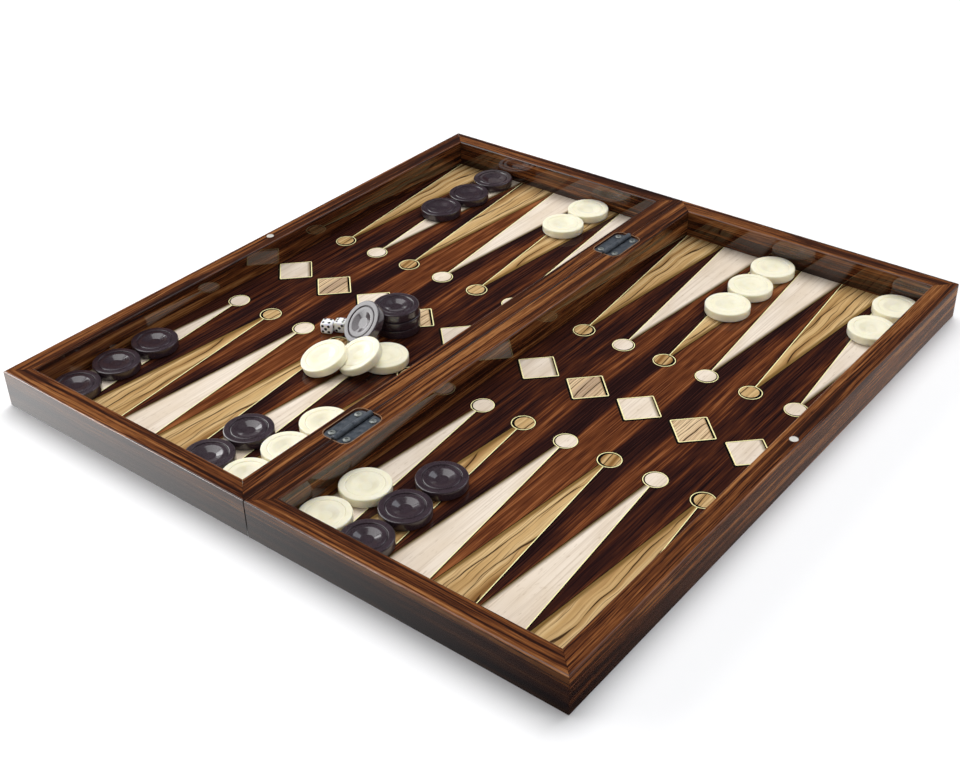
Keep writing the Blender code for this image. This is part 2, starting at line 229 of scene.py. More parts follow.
class Graph:
    """A material's node tree, with short calls for the nodes used here."""

    def __init__(self, name):
        self.material = bpy.data.materials.new(name)
        self.material.use_nodes = True
        self.tree = self.material.node_tree
        self.shader = self.tree.nodes["Principled BSDF"]

    def node(self, kind):
        return self.tree.nodes.new("ShaderNode" + kind)

    def put(self, value, socket):
        if isinstance(value, bpy.types.NodeSocket):
            self.tree.links.new(value, socket)
        else:
            socket.default_value = value

    def set(self, **inputs):
        for name, value in inputs.items():
            self.put(value, self.shader.inputs[name.replace("_", " ")])

    def math(self, operation, a, b=0.0):
        node = self.node("Math")
        node.operation = operation
        self.put(a, node.inputs[0])
        self.put(b, node.inputs[1])
        return node.outputs[0]

    def add(self, a, b):
        return self.math("ADD", a, b)

    def less(self, a, b):
        return self.math("SUBTRACT", a, b)

    def times(self, a, b):
        return self.math("MULTIPLY", a, b)

    def over(self, a, b):
        return self.math("DIVIDE", a, b)

    def size(self, a):
        return self.math("ABSOLUTE", a)

    def position(self):
        return self.node("TexCoord").outputs["Object"]

    def attribute(self, name, output="Fac"):
        node = self.node("Attribute")
        node.attribute_name = name
        return node.outputs[output]

    def grain(self):
        return self.attribute("grain", "Vector")

    def separate(self, vector):
        node = self.node("SeparateXYZ")
        self.put(vector, node.inputs[0])
        return node.outputs

    def combine(self, x, y, z):
        node = self.node("CombineXYZ")
        for value, socket in zip((x, y, z), node.inputs):
            self.put(value, socket)
        return node.outputs[0]

    def scaled(self, vector, scale):
        node = self.node("VectorMath")
        node.operation = "MULTIPLY"
        self.put(vector, node.inputs[0])
        node.inputs[1].default_value = scale
        return node.outputs[0]

    def noise(self, vector, scale=1.0, detail=3.0, roughness=0.5, distortion=0.0):
        """Soft noise; its scale is one number, or one for each axis."""
        if isinstance(scale, tuple):
            vector, scale = self.scaled(vector, scale), 1.0
        node = self.node("TexNoise")
        self.put(vector, node.inputs["Vector"])
        labels = ("Scale", "Detail", "Roughness", "Distortion")
        for label, number in zip(labels, (scale, detail, roughness, distortion)):
            node.inputs[label].default_value = number
        return node.outputs["Fac"]

    def ramp(self, value, stops):
        node = self.node("ValToRGB")
        elements = node.color_ramp.elements
        while len(elements) < len(stops):
            elements.new(0.5)
        for element, (position, colour) in zip(elements, stops):
            element.position = position
            element.color = rgba(colour)
        self.put(value, node.inputs[0])
        return node.outputs[0]

    def level(self, value, low, high, out_low=0.0, out_high=1.0):
        node = self.node("MapRange")
        node.clamp = True
        self.put(value, node.inputs[0])
        for socket, number in zip(node.inputs[1:5], (low, high, out_low, out_high)):
            socket.default_value = number
        return node.outputs[0]

    def mix(self, factor, a, b):
        node = self.node("Mix")
        node.data_type = "RGBA"
        self.put(factor, node.inputs["Factor"])
        self.put(rgba(a), node.inputs[6])
        self.put(rgba(b), node.inputs[7])
        return node.outputs[2]

    def tint(self, colour, value, low, high, share, other):
        """Mix in up to a share of another colour as a value rises from low to high."""
        return self.mix(self.level(value, low, high, 0.0, share), colour, other)

    def bump(self, height, strength, distance):
        node = self.node("Bump")
        node.inputs["Strength"].default_value = strength
        node.inputs["Distance"].default_value = distance
        self.put(height, node.inputs["Height"])
        return node.outputs[0]


def rgba(colour):
    return colour if isinstance(colour, bpy.types.NodeSocket) else (*colour, 1.0)


def srgb(red, green, blue):
    """A colour given as screen values from 0 to 255."""
    parts = (part / 255 for part in (red, green, blue))
    return tuple(((c + 0.055) / 1.055) ** 2.4 if c > 10 / 255 else c / 12.92 for c in parts)


# ---- materials


def lacquer(graph, roughness=0.45):
    """The deep gloss lacquer over the case."""
    graph.set(Roughness=roughness, Specular_IOR_Level=0.0)
    graph.set(Coat_Weight=1.0, Coat_Roughness=0.03, Coat_IOR=1.6)


def satin(graph, roughness=0.45):
    """The thinner, flatter coat over the playing field."""
    graph.set(Roughness=roughness, Specular_IOR_Level=0.0)
    graph.set(Coat_Weight=0.4, Coat_Roughness=0.09, Coat_IOR=1.5)


def rail_wood():
    """Walnut rails: long dark and amber streaks that follow each rail, with fine pores."""
    graph = Graph("rail_wood")
    grain = graph.grain()
    sway = graph.noise(grain, (9.0, 40.0, 40.0), detail=1.0)
    shift = graph.times(graph.less(sway, 0.5), 0.006)
    parts = graph.separate(grain)
    bent = graph.combine(parts[0], graph.add(parts[1], shift), graph.add(parts[2], shift))
    broad = graph.noise(bent, (2.6, 130.0, 130.0), detail=1.0)
    bands = graph.noise(bent, (5.0, 420.0, 420.0), detail=2.0, roughness=0.6)
    streaks = graph.noise(bent, (9.0, 950.0, 950.0), detail=1.0, roughness=0.6)
    flecks = graph.noise(grain, (80.0, 1100.0, 1100.0), detail=1.0)
    tone = graph.times(broad, 0.62)
    for layer, share in ((bands, 0.6), (streaks, 0.42), (flecks, 0.16)):
        tone = graph.add(tone, graph.times(layer, share))
    tone = graph.less(tone, 0.4)
    tone = graph.add(tone, graph.attribute("tone"))
    stops = (
        (0.33, srgb(32, 15, 10)),
        (0.43, srgb(60, 30, 16)),
        (0.52, srgb(92, 51, 26)),
        (0.60, srgb(124, 75, 39)),
        (0.70, srgb(156, 106, 62)),
    )
    colour = graph.ramp(tone, stops)
    pores = graph.noise(grain, (120.0, 1900.0, 1900.0), detail=0.0)
    colour = graph.tint(colour, pores, 0.56, 0.78, 0.45, srgb(32, 16, 11))
    # Painted shade: the outer end faces are darkened towards near black, most at the bottom.
    colour = graph.mix(graph.attribute("painted_shade"), colour, srgb(20, 16, 17))
    graph.set(Base_Color=colour, Normal=graph.bump(streaks, 0.08, 0.0002))
    lacquer(graph)
    return graph.material


def seam_shade_wood():
    """Bare wood on the faces that meet when the case is open, darkened to near black as painted
    shade in the gap.
    """
    graph = Graph("seam_shade_wood")
    fibres = graph.noise(graph.position(), (900.0, 900.0, 900.0), detail=2.0)
    graph.set(Base_Color=graph.mix(fibres, srgb(20, 12, 9), srgb(34, 20, 14)), Roughness=0.8)
    graph.set(Specular_IOR_Level=0.1, Normal=graph.bump(fibres, 0.3, 0.0001))
    return graph.material


def from_middle(graph, x):
    """Distance from the middle of either half, the same to both sides."""
    return graph.size(graph.less(graph.size(x), HALF_CENTRE))


def panel_wood():
    """Plainer veneer under the case."""
    graph = Graph("panel_wood")
    x, y, z = graph.separate(graph.position())
    across = from_middle(graph, x)
    veneer = graph.combine(across, graph.times(y, 0.03), z)
    bands = graph.noise(veneer, scale=60.0, detail=3.0, distortion=0.4)
    fine = graph.noise(veneer, (900.0, 160.0, 1.0), detail=2.0)
    stops = ((0.3, srgb(48, 26, 20)), (0.55, srgb(92, 52, 32)), (0.75, srgb(66, 36, 24)))
    colour = graph.ramp(bands, stops)
    colour = graph.tint(colour, fine, 0.4, 0.7, 0.4, srgb(36, 20, 16))
    graph.set(Base_Color=colour, Normal=graph.bump(fine, 0.2, 0.0002))
    lacquer(graph)
    return graph.material


def field_wood():
    """Dark rosewood veneer, mirrored about the middle of each half and of the whole board."""
    graph = Graph("field_wood")
    x, y, _ = graph.separate(graph.position())
    across = from_middle(graph, x)
    along = graph.size(y)
    flat = graph.combine(across, along, 0.37)
    sway = graph.less(graph.noise(flat, (13.0, 13.0, 1.0), detail=1.0), 0.5)
    bent = graph.add(across, graph.times(sway, 0.007))

    def streaks(place, width, length, seed):
        spot = graph.combine(graph.over(place, width), graph.over(along, length), seed)
        return graph.less(graph.noise(spot, detail=2.0), 0.5)

    bands = streaks(bent, 0.006, 0.09, 1.7)
    lines = streaks(graph.mix(0.6, bent, across), 0.0015, 0.11, 4.1)
    fine = streaks(across, 0.0008, 0.03, 7.9)
    stops = [(place / FIGURE_WIDTH, (tone,) * 3) for place, tone in FIELD_FIGURE]
    figure = graph.ramp(graph.over(bent, FIGURE_WIDTH * MM), stops)
    knot = graph.noise(graph.combine(graph.times(across, 70.0), graph.times(along, 22.0), 3.3))
    figure = graph.add(figure, graph.level(knot, 0.5, 0.72, 0.0, 0.12))
    detail = graph.times(bands, 0.45)
    for layer, share in ((lines, 0.85), (fine, 0.75)):
        detail = graph.add(detail, graph.times(layer, share))
    strength = graph.level(figure, 0.12, 0.45, 0.4, 1.08)
    tone = graph.add(figure, graph.times(detail, strength))
    stops = (
        (0.00, srgb(20, 9, 9)),
        (0.20, srgb(36, 18, 17)),
        (0.42, srgb(62, 31, 20)),
        (0.62, srgb(97, 52, 28)),
        (0.88, srgb(138, 84, 48)),
    )
    colour = graph.ramp(tone, stops)
    graph.set(Base_Color=colour, Normal=graph.bump(lines, 0.15, 0.0002))
    satin(graph)
    return graph.material


def edge_shade(graph, colour, start, stop, dark):
    """Shades an inlay along one long edge, where its printed bevel falls away."""
    edge = graph.attribute("edge")
    return graph.mix(graph.level(edge, start, stop, 0.95, 0.0), colour, dark)


def maple_inlay():
    """Pale maple with faint hair lines."""
    graph = Graph("maple_inlay")
    grain = graph.grain()
    cloud = graph.noise(grain, (70.0, 18.0, 10.0), detail=2.0)
    lines = graph.noise(grain, (900.0, 16.0, 10.0), detail=2.0)
    colour = graph.ramp(cloud, ((0.3, srgb(214, 198, 178)), (0.6, srgb(226, 213, 197))))
    colour = graph.tint(colour, lines, 0.48, 0.74, 0.5, srgb(180, 158, 134))
    specks = graph.noise(grain, (700.0, 160.0, 10.0), detail=2.0)
    colour = graph.tint(colour, specks, 0.62, 0.78, 0.5, srgb(170, 146, 120))
    colour = edge_shade(graph, colour, 0.0007, 0.0034, srgb(92, 74, 36))
    graph.set(Base_Color=colour, Normal=graph.bump(lines, 0.1, 0.0001))
    satin(graph)
    return graph.material


def olive_inlay(name, pale, spacing):
    """Tan olive wood with a few long dark lines; pale bleaches it."""
    graph = Graph(name)
    grain = graph.grain()
    warp = graph.noise(grain, (20.0, 24.0, 10.0), detail=2.0)
    x, y, z = graph.separate(grain)
    bent = graph.add(x, graph.times(graph.less(warp, 0.5), 0.007))

    def streaks(width, length, detail=2.0):
        place = graph.combine(graph.over(bent, width), graph.over(y, length), z)
        return graph.noise(place, detail=detail)

    wide = streaks(0.009, 0.45, 1.0)
    fine = streaks(0.0013, 0.06)
    pores = streaks(0.0004, 0.012)
    stops = (
        (0.30, srgb(124, 88, 48)),
        (0.41, srgb(186, 151, 100)),
        (0.54, srgb(210, 181, 132)),
        (0.65, srgb(176, 140, 90)),
        (0.76, srgb(114, 78, 42)),
    )
    colour = graph.ramp(wide, stops)
    colour = graph.mix(pale, colour, srgb(236, 216, 190))
    colour = graph.tint(colour, fine, 0.5, 0.75, 0.6, srgb(140, 100, 58))
    colour = graph.tint(colour, pores, 0.55, 0.75, 0.3, srgb(110, 76, 44))
    for pitch, seed, thin, depth in ((0.45 * spacing, 17.0, 0.08, 0.7), (spacing, 10.0, 0.0, 0.95)):
        drift = graph.noise(grain, (45.0, 9.0, seed), detail=1.0)
        turns = graph.add(graph.over(bent, pitch), graph.times(drift, 2.6))
        distance = graph.size(graph.less(graph.math("FRACT", turns), 0.5))
        swell = graph.noise(grain, (90.0, 22.0, seed), detail=1.0)
        width = graph.level(swell, 0.36 + thin, 0.60 + thin, 0.004, 0.075)
        line = graph.over(distance, width)
        halo = graph.level(distance, 0.02, 0.18, 0.42 * depth, 0.0)
        colour = graph.mix(halo, colour, srgb(134, 98, 56))
        colour = graph.mix(graph.level(line, 0.6, 1.4, depth, 0.0), colour, srgb(52, 32, 18))
    colour = edge_shade(graph, colour, 0.0019, 0.0037, srgb(116, 88, 46))
    graph.set(Base_Color=colour, Normal=graph.bump(fine, 0.1, 0.0001))
    satin(graph)
    return graph.material


def plain_inlay(name, colour, spot):
    """A painted line of the inlay, with a faint mottle."""
    graph = Graph(name)
    mottle = graph.noise(graph.position(), scale=900.0, detail=2.0)
    graph.set(Base_Color=graph.tint(colour, mottle, 0.35, 0.65, 0.6, spot))
    graph.set(Normal=graph.bump(mottle, 0.1, 0.00005))
    satin(graph, graph.level(mottle, 0.3, 0.7, 0.4, 0.55))
    return graph.material


def blackened_metal():
    """Oil-blackened steel, rubbed lighter in patches."""
    graph = Graph("hinge_metal")
    place = graph.position()
    patches = graph.noise(place, scale=260.0, detail=4.0, roughness=0.65)
    grit = graph.noise(place, scale=2600.0, detail=2.0)
    stops = ((0.35, srgb(62, 68, 76)), (0.6, srgb(88, 94, 101)), (0.75, srgb(118, 114, 116)))
    graph.set(Base_Color=graph.ramp(patches, stops), Metallic=0.45)
    graph.set(Roughness=graph.level(patches, 0.3, 0.7, 0.38, 0.55))
    graph.set(Normal=graph.bump(grit, 0.25, 0.00005))
    return graph.material


def steel(name, low, high, roughness, metallic=1.0):
    """Bare metal with faint rubbed patches."""
    graph = Graph(name)
    place = graph.position()
    patches = graph.noise(place, scale=700.0, detail=3.0)
    graph.set(Base_Color=graph.ramp(patches, ((0.35, low), (0.65, high))), Metallic=metallic)
    graph.set(Roughness=graph.level(patches, 0.3, 0.7, roughness - 0.06, roughness + 0.08))
    graph.set(Normal=graph.bump(graph.noise(place, scale=3200.0, detail=2.0), 0.15, 0.00003))
    return graph.material


def moulded(name, low, high, roughness, coat, glow=0.0):
    """Polished moulded plastic with a faint marbling; glow lets light pass inside."""
    graph = Graph(name)
    place = graph.position()
    cloud = graph.noise(place, scale=120.0, detail=3.0, distortion=0.8)
    fine = graph.noise(place, scale=1500.0, detail=2.0)
    graph.set(Base_Color=graph.ramp(cloud, ((0.3, low), (0.7, high))))
    graph.set(Roughness=graph.level(fine, 0.3, 0.7, roughness - 0.05, roughness + 0.05))
    graph.set(Coat_Weight=coat, Coat_Roughness=0.06, Normal=graph.bump(fine, 0.08, 0.00003))
    if glow:
        graph.set(Subsurface_Weight=glow, Subsurface_Scale=0.004)
        graph.shader.inputs["Subsurface Radius"].default_value = (1.0, 0.9, 0.6)
    return graph.material


def make_materials():
    return {
        "rail": rail_wood(),
        "seam": seam_shade_wood(),
        "panel": panel_wood(),
        "field": field_wood(),
        "maple": maple_inlay(),
        "olive": olive_inlay("olive_inlay", 0.0, 0.0095),
        "pale_olive": olive_inlay("pale_olive_inlay", 0.4, 0.0052),
        "gold": plain_inlay("gold_line", srgb(250, 241, 186), srgb(232, 221, 148)),
        "bronze": plain_inlay("bronze_line", srgb(70, 60, 30), srgb(52, 44, 22)),
        "black": plain_inlay("black_line", srgb(22, 18, 14), srgb(12, 10, 8)),
        "raw": plain_inlay("raw_edge", srgb(142, 112, 88), srgb(92, 66, 46)),
        "hinge": blackened_metal(),
        "screw": steel("screw_metal", srgb(116, 121, 119), srgb(148, 152, 148), 0.4, 0.5),
        "pin": steel("pin_metal", srgb(60, 62, 66), srgb(90, 92, 96), 0.4),
        "magnet": steel("magnet_metal", srgb(200, 196, 188), srgb(216, 212, 204), 0.4, 0.25),
        "dark": moulded("checker_dark", srgb(42, 31, 37), srgb(54, 41, 48), 0.3, 1.0),
        "cream": moulded("checker_cream", srgb(236, 230, 204), srgb(241, 236, 213), 0.38, 0.4, 0.6),
        "die": moulded("die_white", srgb(248, 248, 249), srgb(252, 252, 253), 0.3, 0.5, 0.6),
        "pip": moulded("die_pip", srgb(8, 8, 10), srgb(14, 14, 16), 0.5, 0.0),
    }


# ---- mesh helpers


def finish_mesh(name, work, materials, body=None, smooth=True, weighted=False):
    """Turn a bmesh into an object, which is a finished piece if it is given its body and slot."""
    bmesh.ops.remove_doubles(work, verts=work.verts, dist=1e-7)
    bmesh.ops.recalc_face_normals(work, faces=work.faces)
    mesh = bpy.data.meshes.new(name)
    work.to_mesh(mesh)
    work.free()
    for material in materials:
        mesh.materials.append(material)
    obj = new_object(name, mesh)
    if smooth:
        shade(obj, weighted)
    if body:
        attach(obj, body)
    return obj


def new_object(name, data):
    obj = bpy.data.objects.new(name, data)
    bpy.context.scene.collection.objects.link(obj)
    return obj


def take_mesh(obj):
    """Keep the mesh of a piece that was only made to be copied."""
    mesh = obj.data
    bpy.data.objects.remove(obj, do_unlink=True)
    return mesh


def shade(obj, weighted=False):
    obj.data.shade_smooth()
    obj.data.set_sharp_from_angle(angle=math.radians(35.0))
    if weighted:
        modifier = obj.modifiers.new("weighted", "WEIGHTED_NORMAL")
        modifier.keep_sharp = True


def arc(centre, radius, start, end, steps):
    """Points on a circle, angles in degrees."""
    points = []
    for i in range(steps + 1):
        angle = math.radians(start + (end - start) * i / steps)
        points.append((centre[0] + radius * math.cos(angle), centre[1] + radius * math.sin(angle)))
    return points


def circle(centre, radius):
    """The outline of a disc."""
    return arc(centre, radius, 0.0, 360.0 * (1.0 - 1.0 / CIRCLE_STEPS), CIRCLE_STEPS - 1)


def rounded(profile, radii, steps=4):
    """An open profile with each inner corner replaced by a short curve."""
    points = [Vector(profile[0])]
    for i in range(1, len(profile) - 1):
        corner = Vector(profile[i])
        before = Vector(profile[i - 1]) - corner
        after = Vector(profile[i + 1]) - corner
        reach = min(radii[i], 0.45 * before.length, 0.45 * after.length)
        if reach <= 0.0:
            points.append(corner)
            continue
        start = corner + before.normalized() * reach
        end = corner + after.normalized() * reach
        for k in range(steps + 1):
            t = k / steps
            points.append(start * (1 - t) ** 2 + corner * 2 * t * (1 - t) + end * t**2)
    points.append(Vector(profile[-1]))
    return points


def extrude_outline(work, outline, vector):
    """Add a prism to a bmesh from a flat outline."""
    face = work.faces.new([work.verts.new(point) for point in outline])
    grown = bmesh.ops.extrude_face_region(work, geom=[face])["geom"]
    moved = [item for item in grown if isinstance(item, bmesh.types.BMVert)]
    bmesh.ops.translate(work, verts=moved, vec=vector)
    return moved


def spin_profile(work, profile, steps):
    """Add a turned solid to a bmesh from (radius, height) points; both ends are on the axis."""
    verts = [work.verts.new((point[0], 0.0, point[1])) for point in profile]
    edges = [work.edges.new(pair) for pair in zip(verts, verts[1:])]
    middle, up = (0.0, 0.0, 0.0), (0.0, 0.0, 1.0)
    turn = 2.0 * math.pi
    bmesh.ops.spin(work, geom=verts + edges, cent=middle, axis=up, angle=turn, steps=steps)


def cut(target, tool):
    """Take the tool away from the target and drop it."""
    modifier = target.modifiers.new("cut", "BOOLEAN")
    modifier.operation = "DIFFERENCE"
    modifier.solver = "EXACT"
    modifier.object = tool
    bpy.context.view_layer.update()
    graph = bpy.context.evaluated_depsgraph_get()
    result = bpy.data.meshes.new_from_object(target.evaluated_get(graph))
    target.modifiers.remove(modifier)
    target.data = result
    bpy.data.objects.remove(tool, do_unlink=True)


def tool_prism(outline, bottom, height):
    work = bmesh.new()
    extrude_outline(work, [(x, y, bottom) for x, y in outline], (0.0, 0.0, height))
    return finish_mesh("tool", work, (), smooth=False)


# ---- case


def rail_profile(width, outer_r, inner_r):
    """Rail section as (distance in from the outer face, height)."""
    outer = arc((outer_r, HEIGHT - outer_r), outer_r, 180.0, 90.0, EDGE_STEPS)
    inner = arc((width - inner_r, HEIGHT - inner_r), inner_r, 90.0, 0.0, EDGE_STEPS)
    foot = [(width, RABBET_H), (width - RABBET_W, RABBET_H), (width - RABBET_W, 0.0)]
    return [(0.0, 0.0)] + outer + inner + foot


def make_rail(name, profile, ends, placing, body, wood, cutters, offset, painted_shade):
    """A mitred rail: each end is (position at the outer face, shift per distance in)."""
    low_end, high_end = ends
    work = bmesh.new()
    section = [(distance, -1.0, height) for distance, height in profile]
    high = set(extrude_outline(work, section, (0.0, 2.0, 0.0)))
    for vert in work.verts:
        position, shift = high_end if vert in high else low_end
        vert.co.y = position + shift * vert.co.x
    bmesh.ops.transform(work, verts=work.verts, matrix=placing)
    rail = finish_mesh("wood_" + name, work, wood, smooth=False)
    for tool in cutters:
        cut(rail, tool)
    # Seam faces below the rounded top take the near-black seam wood: painted shade in the gap
    # between the halves.
    for face in rail.data.polygons:
        at_seam = abs(face.center.x) < SEAM_REACH and abs(face.normal.x) > 0.8
        if at_seam and face.center.z < HEIGHT - SEAM_EDGE_R:
            face.material_index = 1
    store_wood(rail, placing.inverted(), low_end[0], high_end[0], offset, painted_shade, RAIL_TONES[name])
    shade(rail, weighted=True)
    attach(rail, body)
    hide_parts("rail_" + name)


def store_wood(rail, to_board, low, high, offset, painted_shade, tone):
    """Store at each point its place in its own board (along, across, up), painted shade and tone.
    """
    attributes = rail.data.attributes
    kinds = {"grain": "FLOAT_VECTOR", "painted_shade": "FLOAT", "tone": "FLOAT"}
    for label, kind in kinds.items():
        attributes.new(label, kind, "POINT")
    grains, painted_shades, tones = (attributes[label].data for label in kinds)
    places = [(to_board @ vert.co, vert.co.z) for vert in rail.data.vertices]
    for number, (place, height) in enumerate(places):
        along = (place.y - low) / (high - low)
        faded_shade = painted_shade * (1.0 - PAINTED_SHADE_FADE * height / HEIGHT)
        grains[number].vector = (place.y + offset, place.x + offset, place.z)
        # Painted shade goes on the outer face only and is strongest at the bottom.
        painted_shades[number].value = faded_shade if place.x < 1e-6 else 0.0
        tones[number].value = tone[0] * (1.0 - along) + tone[1] * along


def axes_matrix(x_axis, y_axis, origin):
    matrix = Matrix.Identity(4)
    matrix.col[0] = (*x_axis, 0.0)
    matrix.col[1] = (*y_axis, 0.0)
    matrix.translation = origin
    return matrix


def leaf_outline(width, half_length, radius, inner, steps=8):
    points = arc((width - radius, -half_length + radius), radius, -90.0, 0.0, steps)
    points += arc((width - radius, half_length - radius), radius, 0.0, 90.0, steps)
    return points + list(inner)


def mortise_tool(sign, middle):
    past_seam = -CUT_PAST
    half = LEAF_HALF_L + GAP
    inner = ((past_seam, half), (past_seam, -half))
    outline = leaf_outline(LEAF_W + GAP, half, LEAF_CORNER_R + GAP, inner)
    return tool_prism([(sign * x, y + middle) for x, y in outline], LEAF_BOTTOM - GAP, CUT_DEPTH)


def magnet_tool(sign):
    outline = circle((sign * MAGNET_X, MAGNET_Y), MAGNET_R + GAP)
    return tool_prism(outline, MAGNET_BOTTOM - GAP, CUT_DEPTH)


def seam_tool(sign, end):
    """Eases the corner where the two halves meet, which leaves a fine shadow line."""
    outer = end * (HALF_L + CUT_PAST)
    inner = end * (HALF_L - SEAM_LINE_DEPTH)
    near, far = -CUT_PAST * sign, SEAM_LINE * sign
    corners = ((near, outer), (far, outer), (far, inner), (near, inner))
    return tool_prism(corners, -CUT_PAST, HEIGHT + 2 * CUT_PAST)


def build_rails(side, sign, wood):
    body = side + "_half"
    plain = rail_profile(RAIL_W, EDGE_R, EDGE_R)
    low, high = MITRE_GAP - HALF_L, HALF_L - MITRE_GAP
    placing = axes_matrix((-sign, 0.0, 0.0), (0.0, 1.0, 0.0), (sign * HALF_W, 0.0, 0.0))
    offset = 0.11 if sign > 0 else 0.67
    ends = ((low, 1.0), (high, -1.0))
    tools = [magnet_tool(sign)]
    make_rail("outer_" + side, plain, ends, placing, body, wood, tools, offset, 0.0)

    profile = rail_profile(HINGE_RAIL_W, SEAM_EDGE_R, EDGE_R)
    shift = RAIL_W / HINGE_RAIL_W
    placing = axes_matrix((sign, 0.0, 0.0), (0.0, 1.0, 0.0), (sign * SEAM, 0.0, 0.0))
    offset += 0.19
    ends = ((low, shift), (high, -shift))
    tools = [mortise_tool(sign, end * HINGE_Y) for _, end in ENDS]
    tools += [seam_tool(sign, end) for _, end in ENDS]
    make_rail("hinge_" + side, profile, ends, placing, body, wood, tools, offset, HINGE_PAINTED_SHADE)

    ends = ((SEAM + MITRE_GAP, 1.0 / shift), (HALF_W - MITRE_GAP, -1.0))
    for label, end in ENDS:
        placing = axes_matrix((0.0, -end, 0.0), (sign, 0.0, 0.0), (0.0, end * HALF_L, 0.0))
        offset += 0.17
        tools = [seam_tool(sign, end)]
        make_rail(label + "_" + side, plain, ends, placing, body, wood, tools, offset, END_PAINTED_SHADE)


def build_mortise_lines(side, sign, material):
    """The pale raw edge left round each hinge pocket."""
    for label, end in ENDS:
        middle = end * HINGE_Y
        work = bmesh.new()
        rows = []
        for grow in (GAP, GAP + MORTISE_LINE_W):
            outline = leaf_outline(LEAF_W + grow, LEAF_HALF_L + grow, LEAF_CORNER_R + grow, ())
            start = (SEAM_EDGE_R, outline[0][1])
            finish = (SEAM_EDGE_R, outline[-1][1])
            rows.append([start, *outline, finish])
        for low, high in zip(zip(*rows), list(zip(*rows))[1:]):
            loop = (low[0], low[1], high[1], high[0])
            outline = [(sign * x, y + middle, HEIGHT - MORTISE_LINE_DEPTH) for x, y in loop]
            extrude_outline(work, outline, (0.0, 0.0, MORTISE_LINE_DEPTH + LAYER))
        name = "mortise_line_" + label + "_" + side
        finish_mesh(name, work, (material,), side + "_half", smooth=False)


# ---- inlays


class Inlay:
    """Collects thin plates of one material, with their grain and shaded-edge values."""

    def __init__(self, name, side, material, top):
        self.name = name + "_" + side
        self.side = side
        self.material = material
        self.height = top - INLAY_BOTTOM
        self.work = bmesh.new()
        self.grain = self.work.verts.layers.float_vector.new("grain")
        self.edge = self.work.verts.layers.float.new("edge")

    def plate(self, outline, to_grain=None, to_edge=None):
        before = set(self.work.verts)
        base = [(x, y, INLAY_BOTTOM) for x, y in outline]
        extrude_outline(self.work, base, (0.0, 0.0, self.height))
        for vert in self.work.verts:
            if vert in before:
                continue
            if to_grain:
                vert[self.grain] = to_grain(vert.co)
            vert[self.edge] = to_edge(vert.co) if to_edge else 1.0

    def finish(self):
        body = self.side + "_half"
        finish_mesh(self.name, self.work, (self.material,), body, smooth=False)


def column_x(sign, number):
    """Middle of a point's column, counted from the left of its half."""
    left = INNER_X if sign > 0 else -(HALF_W - RAIL_W)
    return left + (number + 0.5) * COLUMN_W


def point_half_width(y):
    return POINT_TIP_HALF_W + POINT_SLOPE * (y - POINT_TIP_Y)


def point_outline(x, end, low, high):
    """A point's outline; its long edges move out by low and high as far as its column allows."""
    sides = ([], [])
    for y in (POINT_TIP_Y, SHOULDER_Y, POINT_BASE_Y):
        half = point_half_width(y)
        for side, grow, points in zip((-1.0, 1.0), (low, high), sides):
            points.append((x + end * side * min(half + grow, 0.5 * COLUMN_W), end * y))
    return sides[1] + sides[0][::-1]


def edge_strip(x, end, side, grow, width):
    """A narrow strip just inside one long edge of a point."""
    outer, inner = [], []
    for y in (POINT_TIP_Y, SHOULDER_Y, POINT_BASE_Y):
        half = min(point_half_width(y) + grow, 0.5 * COLUMN_W)
        outer.append((x + end * side * half, end * y))
        inner.append((x + end * side * (half - width), end * y))
    return outer + inner[::-1]


def inlay_wood(number, end):
    """The wood of a point and its ring, and a number that picks their own stretch of grain."""
    wood = "olive" if (number % 2 == 0) == (end > 0) else "maple"
    return wood, number if end > 0 else COLUMNS - 1 - number


def build_point(parts, sign, number, end):
    """One long point, with a bright line along one long edge and a dull one along the other."""
    x = column_x(sign, number)
    wood, seed = inlay_wood(number, end)
    bevel = POINT_BEVELS[end]

    def to_grain(point):
        return (end * (point.x - x) + 0.071 * seed, end * point.y, 0.37 * seed)

    def to_edge(point):
        return point_half_width(abs(point.y)) + bevel - end * (point.x - x)

    parts["black"].plate(point_outline(x, end, POINT_SHADOW_W, bevel + BRONZE_W))
    parts[wood].plate(point_outline(x, end, 0.0, bevel), to_grain, to_edge)
    parts["gold"].plate(edge_strip(x, end, -1.0, 0.0, GOLD_W))
    parts["bronze"].plate(edge_strip(x, end, 1.0, bevel, BRONZE_W))


def build_ring(parts, sign, number, end):
    """The ringed dot at a point's tip, with its dot pushed off centre to leave a dark crescent."""
    x = column_x(sign, number)
    y = end * RING_Y
    wood, seed = inlay_wood(number, end)

    def to_grain(point):
        return (end * (point.x - x) + 0.071 * seed + 0.02, end * point.y, 0.37 * seed)

    for part, grow in (("black", RING_LINE_W), ("gold", 0.0), ("shadow", -RING_LINE_W)):
        parts[part].plate(circle((x, y), RING_R + grow))
    shift, set_back = DOT_SETS[wood]
    parts["dots_" + wood].plate(circle((x - end * shift, y + DOT_UP), RING_R - set_back), to_grain)


def diamond_outline(x, radius, corner, right=0.0, left=0.0):
    """A square on its corner, rounded; its upper right and left edges may be set back."""
    right, left = math.sqrt(0.5) * right, math.sqrt(0.5) * left
    corners = (
        Vector((0.0, -radius)),
        Vector((radius - right, -right)),
        Vector((left - right, radius - right - left)),
        Vector((left - radius, -left)),
    )
    points = []
    for i, here in enumerate(corners):
        before = (corners[i - 1] - here).normalized()
        after = (corners[(i + 1) % 4] - here).normalized()
        for k in range(CORNER_STEPS + 1):
            t = k / CORNER_STEPS
            point = here + before * corner * (1 - t) ** 2 + after * corner * t**2
            points.append((x + point.x, point.y))
    return points


